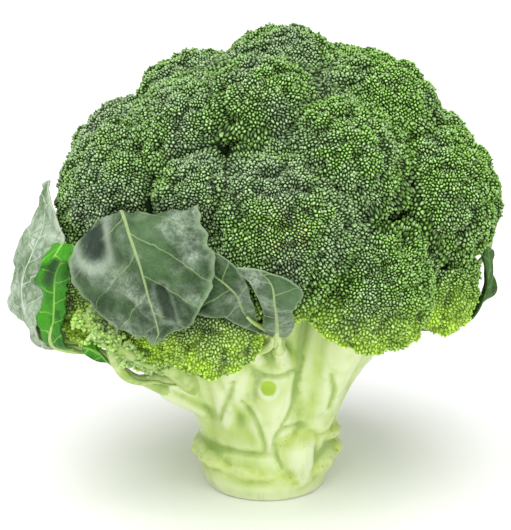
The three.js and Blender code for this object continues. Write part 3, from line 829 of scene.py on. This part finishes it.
def branchlet_skin():
    material, tree, shader = new_material("branchlet_skin", 0.42, 0.4)
    place = on_object(tree)
    clouds = ramp(tree, noise_on(tree, place, 160.0, 3.0), 0.35, 0.68)
    colour = blended(tree, clouds, BRANCHLET_GREEN, BRANCHLET_PALE)
    flecks = ramp(tree, noise_on(tree, place, 900.0, 2.0), 0.55, 0.75, 0.0, 0.35)
    colour = blended(tree, flecks, colour, BRANCHLET_FLECK)
    colour = tinted(tree, colour, STALK_BLOOM_AND_HIGHLIGHT, wax(tree, 150.0, 800.0), 0.25)
    tree.links.new(colour, shader.inputs["Base Color"])
    bumped(tree, shader, clouds, 0.2, 0.4 * MM)
    return material


draw = random.Random(4)
branchlet = branchlet_skin()
stems = []
for floret in florets:
    if floret.rise < FAN_RISE:
        stems += fan(floret, draw)
steps = np.linspace(0, 1, 14)
stems.append((on_curve(BRANCH, steps) * MM, np.linspace(3.8, 1.6, 14) * MM))
sprigs = bmesh.new()
labels = ("level", "tone", "youth", "clump")
level, tone, youth, clump = (sprigs.verts.layers.float.new(label) for label in labels)
for root in on_curve(BRANCH, np.linspace(0.3, 1, SPRIGS)) * MM:
    root = Vector(root)
    side = Vector((draw.uniform(-4, 3), draw.uniform(-3.5, 2), draw.uniform(-3.5, 5))) * MM
    tip = root + side
    path = on_curve([root, root + 0.5 * side + Vector((0, 0, 0.6)) * MM, tip], np.linspace(0, 1, 4))
    stems.append((path, np.linspace(1.0, 0.55, 4) * MM))
    for _ in range(SPRIG_BUDS):
        away = Vector((draw.gauss(0, 1), draw.gauss(0, 1) - 0.4, draw.gauss(0, 1) + 0.4)).normalized()
        at = Matrix.Translation(tip + away * draw.uniform(0.7, 1.5) * MM)
        radius = draw.uniform(*SPRIG_BUD_RADII) * MM
        bead = bmesh.ops.create_icosphere(sprigs, subdivisions=1, radius=radius, matrix=at)
        shade = draw.uniform(0, 0.5)
        for vert in bead["verts"]:
            # The outward side of each sprig bud takes the pale tip colour of bloom and painted highlight,
            # the rest some painted gap shade.
            vert[level] = 0.35 + 0.65 * ((vert.co - tip).normalized().dot(away) > 0.8)
            vert[tone] = shade
            vert[youth] = 0.6
            vert[clump] = 1
branchlets = new_piece("branchlets", tubes(stems, 1), [branchlet])
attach(branchlets, "root")
sprig_buds = new_piece("sprig_buds", sprigs, [skin])
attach(sprig_buds, "root")


# Leaves. Thin waxy blades that grow from the stem below the crown, folded, curled and torn at the edge.
# Each is a sheet stretched from its left edge over its midrib to its right edge, with sunken veins.
LEAF_THICKNESS = 0.7 * MM
LEAF_STEM = (0.36, 0.5, 0.14)
# The colour of the painted shade in a leaf's deep hollows.
LEAF_HOLLOW_SHADE = (0.02, 0.035, 0.025)
VEIN_SLOPE = 0.6
# Each dent has the places where it starts and ends, its radius and depth, and how dark the painted
# shade in its hollow is.
LEAVES = {
    # The big front leaf grows up past the crown's side and folds forward and down.
    "leaf_front": {
        "slot": "leaf",
        "cells": (120, 64),
        "stations": [
            ((-33, -24, 48), (-31, -25, 47), (-29, -26, 46)),
            ((-48, -43, 58), (-46, -45, 57), (-44, -46, 56)),
            ((-53, -54, 76), (-51, -57, 76), (-48, -59, 76)),
            ((-60, -50, 96), (-49, -62, 98), (-34, -68, 98)),
            ((-55, -58, 112), (-46, -68, 117), (-21, -73, 118)),
            ((-61, -61, 105), (-42, -77, 110), (-19, -79, 112)),
            ((-63, -60, 94), (-39, -79, 102), (-17, -80, 99)),
            ((-58, -62, 85), (-37, -78, 93), (-19, -80, 92)),
            ((-48, -64, 79), (-35, -75, 85), (-24, -77, 83)),
            ((-37, -66, 75), (-34, -67, 74), (-31, -68, 75)),
        ],
        "clearance": (1, 1.5, 5),
        "wave": 1.4,
        "vein_spacing": 13,
        "relief_share": 2.1,
        "dents": [
            ((-57.5, -64, 110), (-55, -66, 105), 5.6, 4.5, 0.92),
            ((-33, -78, 95), (-30, -76, 82), 2.0, 1.8, 0.7),
            ((-46, -76, 84), (-38, -77, 82), 2.2, 1.4, 0.35),
        ],
    },
    "leaf_front_thin": {
        "slot": "leaf",
        "cells": (56, 30),
        "stations": [
            ((-3, -31, 55), (-2, -31, 54), (-1, -31, 53)),
            ((-7, -54, 72), (-5, -55, 73), (-3, -56, 74)),
            ((-11, -68, 82), (-8, -70, 88), (-4, -71, 88)),
            ((-17, -72, 84), (-12, -74, 94), (-7, -75, 97)),
            ((-23, -72, 86), (-18, -73, 99), (-12, -75, 103)),
            ((-23, -70, 94), (-21, -71, 103), (-19, -71, 107)),
        ],
        "clearance": (0.8, 0.8),
        "wave": 0.8,
        "vein_spacing": 8,
    },
    "leaf_front_side": {
        "slot": "leaf",
        "cells": (56, 30),
        "stations": [
            ((5, -31, 55), (6, -31, 54), (7, -31, 53)),
            ((0, -56, 71), (3, -57, 72), (6, -57, 73)),
            ((-1, -66, 82), (3, -68, 82), (8, -67, 82)),
            ((-2, -77, 89), (2, -79, 90), (8, -78, 89)),
            ((-5, -80, 96), (1, -81, 97), (11, -80, 94)),
            ((-10, -79, 102), (-3, -80, 102), (5, -80, 99)),
        ],
        "clearance": (2, 3.5),
        "wave": 0.8,
        "vein_spacing": 8,
    },
    # The outermost leaf at the left shows its whitish back.
    "leaf_left_outer": {
        "slot": "leaf_back",
        "cells": (80, 40),
        "stations": [
            ((-34, 3, 46), (-34, 1, 45), (-34, -1, 46)),
            ((-52, 4, 58), (-52, 1, 57), (-52, -2, 58)),
            ((-81, -10, 63), (-79, -20, 60), (-75, -29, 62)),
            ((-89, -12, 70), (-84, -24, 70), (-77, -36, 70)),
            ((-90, -10, 80), (-85, -26, 82), (-75, -39, 82)),
            ((-90, -8, 88), (-81, -27, 93), (-70, -40, 96)),
            ((-85, -8, 97), (-77, -25, 102), (-68, -38, 102)),
            ((-81, -10, 107), (-76, -23, 110), (-69, -33, 110)),
            ((-77, -14, 116), (-75, -18, 118), (-73, -22, 116)),
        ],
        "clearance": (3, 2.5, 1.5, 1.5),
        "wave": 1.6,
        "vein_spacing": 9,
        "relief_share": 2.4,
        "ragged": 1.4,
    },
    # Young leaves, bright green, with a ragged edge.
    "leaf_left_inner": {
        "slot": "young_leaf",
        "cells": (80, 30),
        "stations": [
            ((-36, -20, 48), (-35, -22, 47), (-34, -24, 48)),
            ((-52, -31, 60), (-51, -33, 59), (-50, -35, 60)),
            ((-76, -34, 63), (-73, -38, 64), (-68, -41, 66)),
            ((-76, -38, 73), (-72, -42, 75), (-68, -44, 75)),
            ((-76, -41, 82), (-71, -45, 84), (-67, -46, 84)),
            ((-77, -43, 88), (-70, -47, 91), (-64, -48, 91)),
            ((-72, -46, 97), (-67, -49, 98), (-62, -50, 97)),
            ((-69, -50, 101), (-66, -53, 103), (-62, -54, 102)),
            ((-74, -54, 95), (-69, -58, 99), (-65, -58, 99)),
        ],
        "wave": 1.8,
        "vein_spacing": 8,
        "relief_share": 1.6,
        "ragged": 4.5,
        "dents": [
            ((-70, -48, 97), (-73, -46, 88), 2.4, 1.2, 0.85),
            ((-64, -49, 84), (-63, -49, 80), 1.8, 0.8, 0.7),
        ],
    },
    "leaf_low_left": {
        "slot": "young_leaf",
        "cells": (40, 16),
        "stations": [
            ((-35, -24, 44), (-35, -25, 43), (-35, -26, 43)),
            ((-47, -33, 53), (-47, -34, 52), (-47, -35, 52)),
            ((-53, -41, 65), (-53, -42, 62), (-54, -41, 59)),
            ((-56, -43, 66), (-56, -44, 63), (-57, -43, 60)),
            ((-59, -44, 67), (-59, -45, 65), (-60, -44, 62)),
            ((-61, -44, 68), (-62, -45, 66), (-62, -44, 64)),
        ],
        "wave": 0.4,
        "vein_spacing": 5,
    },
    "leaf_right": {
        "slot": "leaf",
        "cells": (50, 24),
        "stations": [
            ((34, -3, 48), (34, -1, 47), (34, 1, 48)),
            ((52, -3, 60), (52, -1, 59), (52, 1, 60)),
            ((70, -12, 68), (72, -5, 66), (73, 1, 67)),
            ((72, -16, 79), (78, -8, 74), (83, 1, 72)),
            ((73, -18, 86), (80, -8, 84), (82, 0, 82)),
            ((75, -15, 92), (79, -8, 92), (81, -2, 89)),
        ],
        "wave": 0.6,
        "vein_spacing": 7,
    },
    "leaf_right_back": {
        "slot": "young_leaf",
        "cells": (50, 20),
        "stations": [
            ((31, 18, 49), (30, 20, 48), (29, 22, 49)),
            ((51, 25, 60), (50, 28, 59), (49, 31, 60)),
            ((72, 19, 72), (73, 22, 71), (73, 25, 72)),
            ((80, 7, 85), (82, 10, 84), (82, 14, 85)),
            ((79, 0, 96), (83, 6, 94), (84, 11, 92)),
            ((81, 3, 105), (83, 5, 106), (85, 8, 103)),
        ],
        "wave": 0.6,
        "vein_spacing": 7,
    },
}
DENTED_FROM = 0.44  # the share of its length past which a leaf can be dented
TEARS = ((0.1, 9, 0), (0.06, 30, 5))  # how deep, how many along the leaf, and where in the noise
PUCKERS = ((0.8, 95), (0.5, 260))  # how high in millimetres and how fine
FOLD_HEIGHT, FOLD_FINENESS = 0.9, 150
EDGE_WAVES = 19
SIDE_VEIN_DEPTH, SIDE_VEIN_WIDTH = 0.4, 0.9
MIDRIB_DEPTH, MIDRIB_WIDTH = 0.5, 1.1
PETIOLE_END = 0.34  # the share of a leaf's length where its round stem ends
PETIOLE_RADII = (2.3, 0.7)


def vein_group():
    """The veins of a leaf: its midrib, the side veins that leave it, and the fine net between them."""
    inputs = [
        ("Along", "NodeSocketFloat", 0.0),
        ("Lateral", "NodeSocketFloat", 0.0),
        ("Girth", "NodeSocketFloat", 1.0),
        ("Spacing", "NodeSocketFloat", 0.012),
        ("Net scale", "NodeSocketFloat", 300.0),
    ]
    outputs = [(label, "NodeSocketFloat") for label in ("Midrib", "Side", "Net")]
    group, into, out = new_group("veins", inputs, outputs)
    place = on_object(group)
    wobble = maths(group, "MULTIPLY_ADD", noise_on(group, place, 110.0, 2.0), 4 * MM, -2 * MM)
    lateral = maths(group, "ABSOLUTE", into.outputs["Lateral"])
    width = maths(group, "MULTIPLY_ADD", into.outputs["Girth"], 0.75 * MM, 0.22 * MM)
    midrib = ramp(group, maths(group, "DIVIDE", lateral, width), 1.0, 0.55)
    along = maths(group, "ADD", into.outputs["Along"], wobble)
    run = maths(group, "MULTIPLY_ADD", lateral, -VEIN_SLOPE, along)
    turns = maths(group, "DIVIDE", run, into.outputs["Spacing"])
    half = times(group, maths(group, "GREATER_THAN", into.outputs["Lateral"], 0.0), 0.5)
    share = maths(group, "FRACT", maths(group, "ADD", turns, half))
    away = maths(group, "ABSOLUTE", maths(group, "SUBTRACT", share, 0.5))
    away = times(group, away, into.outputs["Spacing"])
    thin = ramp(group, lateral, 0.0, 22 * MM, 0.34 * MM, 0.14 * MM)
    side = ramp(group, maths(group, "DIVIDE", away, thin), 1.0, 0.4)
    net = add_node(group, "TexVoronoi", place, feature="DISTANCE_TO_EDGE")
    group.links.new(into.outputs["Net scale"], net.inputs["Scale"])
    fine = ramp(group, net.outputs["Distance"], 0.09, 0.02)
    for label, value in (("Midrib", midrib), ("Side", side), ("Net", fine)):
        group.links.new(value, out.inputs[label])
    return group


VEINS = vein_group()


def leaf_skin(name, spacing, colours, shares, net_scale, roughness):
    """A leaf's material, from its colours and from how much its bloom, side veins and net show."""
    body, deep, bloom_colour, vein, net, rim = colours
    bloom_share, side_share, net_share = shares
    material, tree, shader = new_material(name, roughness, 0.22)
    veins = tree.nodes.new("ShaderNodeGroup")
    veins.node_tree = VEINS
    for label in ("Along", "Lateral", "Girth"):
        tree.links.new(attribute(tree, label.lower()), veins.inputs[label])
    veins.inputs["Spacing"].default_value = spacing
    veins.inputs["Net scale"].default_value = net_scale
    place = on_object(tree)
    clouds = ramp(tree, noise_on(tree, place, 62.0, 6.0, 0.68), 0.4, 0.6)
    cells = ramp(tree, noise_on(tree, place, 380.0, 6.0, 0.72), 0.4, 0.62)
    colour = blended(tree, clouds, deep, body)
    colour = tinted(tree, colour, body, cells, 0.3)
    bloom = times(tree, wax(tree, 75.0, 1100.0), bloom_share)
    bloom = times(tree, bloom, maths(tree, "MULTIPLY_ADD", cells, 0.75, 0.4))
    colour = blended(tree, bloom, colour, bloom_colour)
    colour = tinted(tree, colour, net, veins.outputs["Net"], net_share)
    # Bloom with a painted highlight on the folded rims round the dents.
    colour = tinted(tree, colour, bloom_colour, attribute(tree, "frosted"), 0.6)
    colour = tinted(tree, colour, vein, veins.outputs["Side"], side_share)
    colour = tinted(tree, colour, vein, veins.outputs["Midrib"], 0.75)
    colour = tinted(tree, colour, rim, attribute(tree, "rim"), 0.6)
    colour = blended(tree, attribute(tree, "stem"), colour, LEAF_STEM)
    # Painted shade in the hollows of the dents.
    colour = blended(tree, attribute(tree, "shade"), colour, LEAF_HOLLOW_SHADE)
    tree.links.new(colour, shader.inputs["Base Color"])
    height = maths(tree, "ADD", veins.outputs["Net"], times(tree, cells, 0.35))
    bumped(tree, shader, height, 0.5, 0.25 * MM)
    return material


# Colours of the body, its deep patches, bloom, veins, net and rim. Shares of bloom, side veins and net.
LEAF_SKINS = {
    "leaf": dict(
        colours=(
            (0.062, 0.13, 0.045), (0.016, 0.045, 0.012), (0.38, 0.46, 0.36),
            (0.36, 0.48, 0.2), (0.3, 0.42, 0.2), (0.32, 0.44, 0.24),
        ),
        shares=(0.75, 0.45, 0.08), net_scale=520.0, roughness=0.5,
    ),
    # The back leaf's dark net colour is painted shade in the creases beside its raised veins.
    "leaf_back": dict(
        colours=(
            (0.33, 0.43, 0.29), (0.07, 0.15, 0.045), (0.68, 0.75, 0.67),
            (0.66, 0.74, 0.6), (0.1, 0.2, 0.06), (0.5, 0.6, 0.42),
        ),
        shares=(0.72, 0.6, 0.45), net_scale=210.0, roughness=0.55,
    ),
    "young_leaf": dict(
        colours=(
            (0.05, 0.3, 0.006), (0.014, 0.11, 0.003), (0.09, 0.33, 0.05),
            (0.3, 0.6, 0.1), (0.2, 0.5, 0.05), (0.02, 0.1, 0.01),
        ),
        shares=(0.15, 0.6, 0.1), net_scale=420.0, roughness=0.45,
    ),
    "leaf_right": dict(
        colours=(
            (0.03, 0.11, 0.005), (0.01, 0.045, 0.003), (0.1, 0.2, 0.06),
            (0.25, 0.42, 0.12), (0.12, 0.28, 0.05), (0.06, 0.16, 0.02),
        ),
        shares=(0.3, 0.55, 0.1), net_scale=420.0, roughness=0.7,
    ),
    "leaf_right_back": dict(
        colours=(
            (0.28, 0.44, 0.1), (0.08, 0.2, 0.02), (0.45, 0.55, 0.3),
            (0.5, 0.62, 0.25), (0.3, 0.45, 0.1), (0.3, 0.45, 0.1),
        ),
        shares=(0.4, 0.5, 0.1), net_scale=420.0, roughness=0.6,
    ),
}


def clear_of_florets(points, clearance):
    """Moves points out of the florets that they are in, and never upward."""
    for _ in range(3):
        for floret in florets:
            least = floret.radius + 1.7 * MM + clearance
            away = points - np.array(floret.centre)
            inside = np.linalg.norm(away, axis=1) < least
            if not inside.any():
                continue
            to_centre = -away[inside]
            away = away[inside]
            away[:, 2] = np.minimum(away[:, 2], 0)
            away = unit(away)
            along = (away * to_centre).sum(axis=1)
            length = along + np.sqrt(least[inside]**2 - (to_centre**2).sum(axis=1) + along**2)
            points[inside] += away * length[:, None]
    return points


def noise_at(points, scale):
    return np.array([field.noise(Vector(point) * scale) for point in points])


petioles = []


def build_leaf(
    name, slot, cells, stations, wave, vein_spacing, clearance=(1, 1), relief_share=1, ragged=1, dents=()
):
    """A blade on a grid of cells, and the path of its round stem, which is kept for later."""
    bm = bmesh.new()
    bmesh.ops.create_grid(bm, x_segments=cells[1], y_segments=cells[0], size=1)
    grid = np.array([vert.co for vert in bm.verts])
    across, along = grid[:, 0], (grid[:, 1] + 1) / 2
    left, rib, right = (on_curve(points, along) * MM for points in zip(*stations))
    ribs = [Vector(row[1]) * MM for row in stations]
    slope = on_curve(ribs, along + 0.01) - on_curve(ribs, along - 0.01)
    normal = unit(np.cross(right - left, slope))
    edge = np.where(across[:, None] < 0, left, right)
    width = np.linalg.norm(edge - rib, axis=1)
    spread = np.abs(across)
    torn = np.zeros(len(grid))
    for depth, count, offset in TEARS:
        spots = np.stack([along * count, np.sign(across), across * 0 + offset], axis=1)
        torn += depth * noise_at(spots, 1.0)
    points = rib + (edge - rib) * (spread * (1 + ragged * torn * spread))[:, None]

    steps = np.linspace(0, 1, 200)
    path = on_curve(ribs, steps)
    run = np.concatenate([[0], np.cumsum(np.linalg.norm(np.diff(path, axis=0), axis=1))])
    length = np.interp(along, steps, run)
    lateral = width * spread
    share = (length - VEIN_SLOPE * lateral) / (vein_spacing * MM) + (across > 0) * 0.5
    vein = np.abs(share - np.floor(share) - 0.5) * vein_spacing
    open_blade = np.clip(lateral / (4 * MM), 0, 1)
    relief = wave * MM * spread**2 * np.sin(EDGE_WAVES * along + np.where(across < 0, 0, 2))
    puckers = sum(height * noise_at(points, fineness) for height, fineness in PUCKERS)
    puckers += FOLD_HEIGHT * np.abs(noise_at(points + 1, FOLD_FINENESS))
    relief += relief_share * puckers * MM * open_blade
    relief -= relief_share * SIDE_VEIN_DEPTH * MM * np.exp(-(vein / SIDE_VEIN_WIDTH)**2) * open_blade
    relief -= MIDRIB_DEPTH * MM * np.exp(-(lateral / (MIDRIB_WIDTH * MM))**2)
    points += normal * relief[:, None]

    stops = np.linspace(0, 1, len(clearance))
    points = clear_of_florets(points, np.interp(along, stops, clearance) * MM)
    shade, frosted = np.zeros(len(points)), np.zeros(len(points))
    front = along > DENTED_FROM
    for start, end, radius, depth, dark in dents:
        start, end = np.array(start) * MM, np.array(end) * MM
        line = end - start
        share = np.clip(((points - start) @ line) / (line @ line), 0, 1)
        away = np.linalg.norm(points - start - share[:, None] * line, axis=1) / (radius * MM)
        points[:, 1] += np.where(front, depth * MM * np.exp(-(away**4)), 0)
        # Painted shade in the hollow of each dent.
        shade = np.maximum(shade, np.where(front, dark * np.exp(-((away * 1.1)**(2 * depth))), 0))
        # A pale ring round each dent: bloom with a painted highlight on the fold.
        ring = depth / 4.5 * np.exp(-(((away - 1.3) / 0.3)**2))
        frosted = np.maximum(frosted, np.where(front, ring, 0))
    for vert, point in zip(bm.verts, points):
        vert.co = point
    bmesh.ops.smooth_vert(bm, verts=bm.verts, factor=0.5, use_axis_x=True, use_axis_y=True, use_axis_z=True)
    middle = points[(spread < 1e-4) & (along < PETIOLE_END)]
    petioles.append((middle, np.linspace(*PETIOLE_RADII, len(middle)) * MM))
    material = leaf_skin(name + "_skin", vein_spacing * MM, **LEAF_SKINS.get(name, LEAF_SKINS[slot]))
    piece = new_piece(name + "_blade", bm, [material])
    rim = np.maximum(np.clip(spread * 12 - 11, 0, 1), np.clip(along * 40 - 39, 0, 1))
    values = {
        "along": length,
        "lateral": lateral * np.sign(across),
        "girth": 1 - along,
        "rim": rim,
        "shade": shade,
        "frosted": frosted,
        "stem": np.clip((0.25 - along) / 0.1, 0, 1),
    }
    for label, value in values.items():
        keep_values(piece.data, label, value)
    solid = piece.modifiers.new("Solidify", "SOLIDIFY")
    solid.thickness = LEAF_THICKNESS
    solid.offset = 0
    applied(piece)
    return piece


for name, form in LEAVES.items():
    leaf = build_leaf(name, **form)
    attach(leaf, "root")
    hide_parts(name)

leaf_stems = new_piece("leaf_stems", tubes(petioles, 3), [branchlet])
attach(leaf_stems, "root")


# Floor, light and camera. A plain matt floor that the head stands on, under the soft even light of a
# studio. The camera looks a little down at the front of the head, through a long lens.
FLOOR_REACH = 4.0
FLOOR_PALE = (0.93, 0.93, 0.93, 1)
STUDIO_WHITE = (1, 1, 1, 1)
STUDIO_STRENGTH = 0.6
LENS = 100
SENSOR = 36
CAMERA_TARGET = Vector((-3.9, 0, 83)) * MM
CAMERA_HEIGHT = math.radians(14)
CAMERA_AWAY = 534 * MM

floor_bm = bmesh.new()
bmesh.ops.create_grid(floor_bm, x_segments=1, y_segments=1, size=FLOOR_REACH)
floor_material, _, floor_shader = new_material("pale_floor", 0.9, 0.0)
floor_shader.inputs["Base Color"].default_value = FLOOR_PALE
floor = new_piece("floor", floor_bm, [floor_material])

world = bpy.data.worlds.new("studio")
world.use_nodes = True
world.node_tree.nodes["Background"].inputs["Color"].default_value = STUDIO_WHITE
world.node_tree.nodes["Background"].inputs["Strength"].default_value = STUDIO_STRENGTH
bpy.context.scene.world = world
bpy.context.scene.view_settings.view_transform = "Standard"


def soft_sun(name, turn, height, strength, spread):
    """A distant soft light, from so many degrees to the right of the front and above the floor."""
    light = bpy.data.lights.new(name, "SUN")
    light.energy = strength
    light.angle = math.radians(spread)
    sun = bpy.data.objects.new(name, light)
    sun.rotation_euler = (math.radians(90 - height), 0, math.radians(turn))
    bpy.context.scene.collection.objects.link(sun)


soft_sun("key", -14, 66, 2.6, 58)
soft_sun("fill", 15, 25, 0.7, 60)

view = bpy.data.cameras.new("view")
view.lens = LENS
view.sensor_width = SENSOR
camera = bpy.data.objects.new("view", view)
towards = Vector((0, -math.cos(CAMERA_HEIGHT), math.sin(CAMERA_HEIGHT)))
camera.location = CAMERA_TARGET + CAMERA_AWAY * towards
camera.rotation_euler = (math.pi / 2 - CAMERA_HEIGHT, 0, 0)
bpy.context.scene.collection.objects.link(camera)
bpy.context.scene.camera = camera
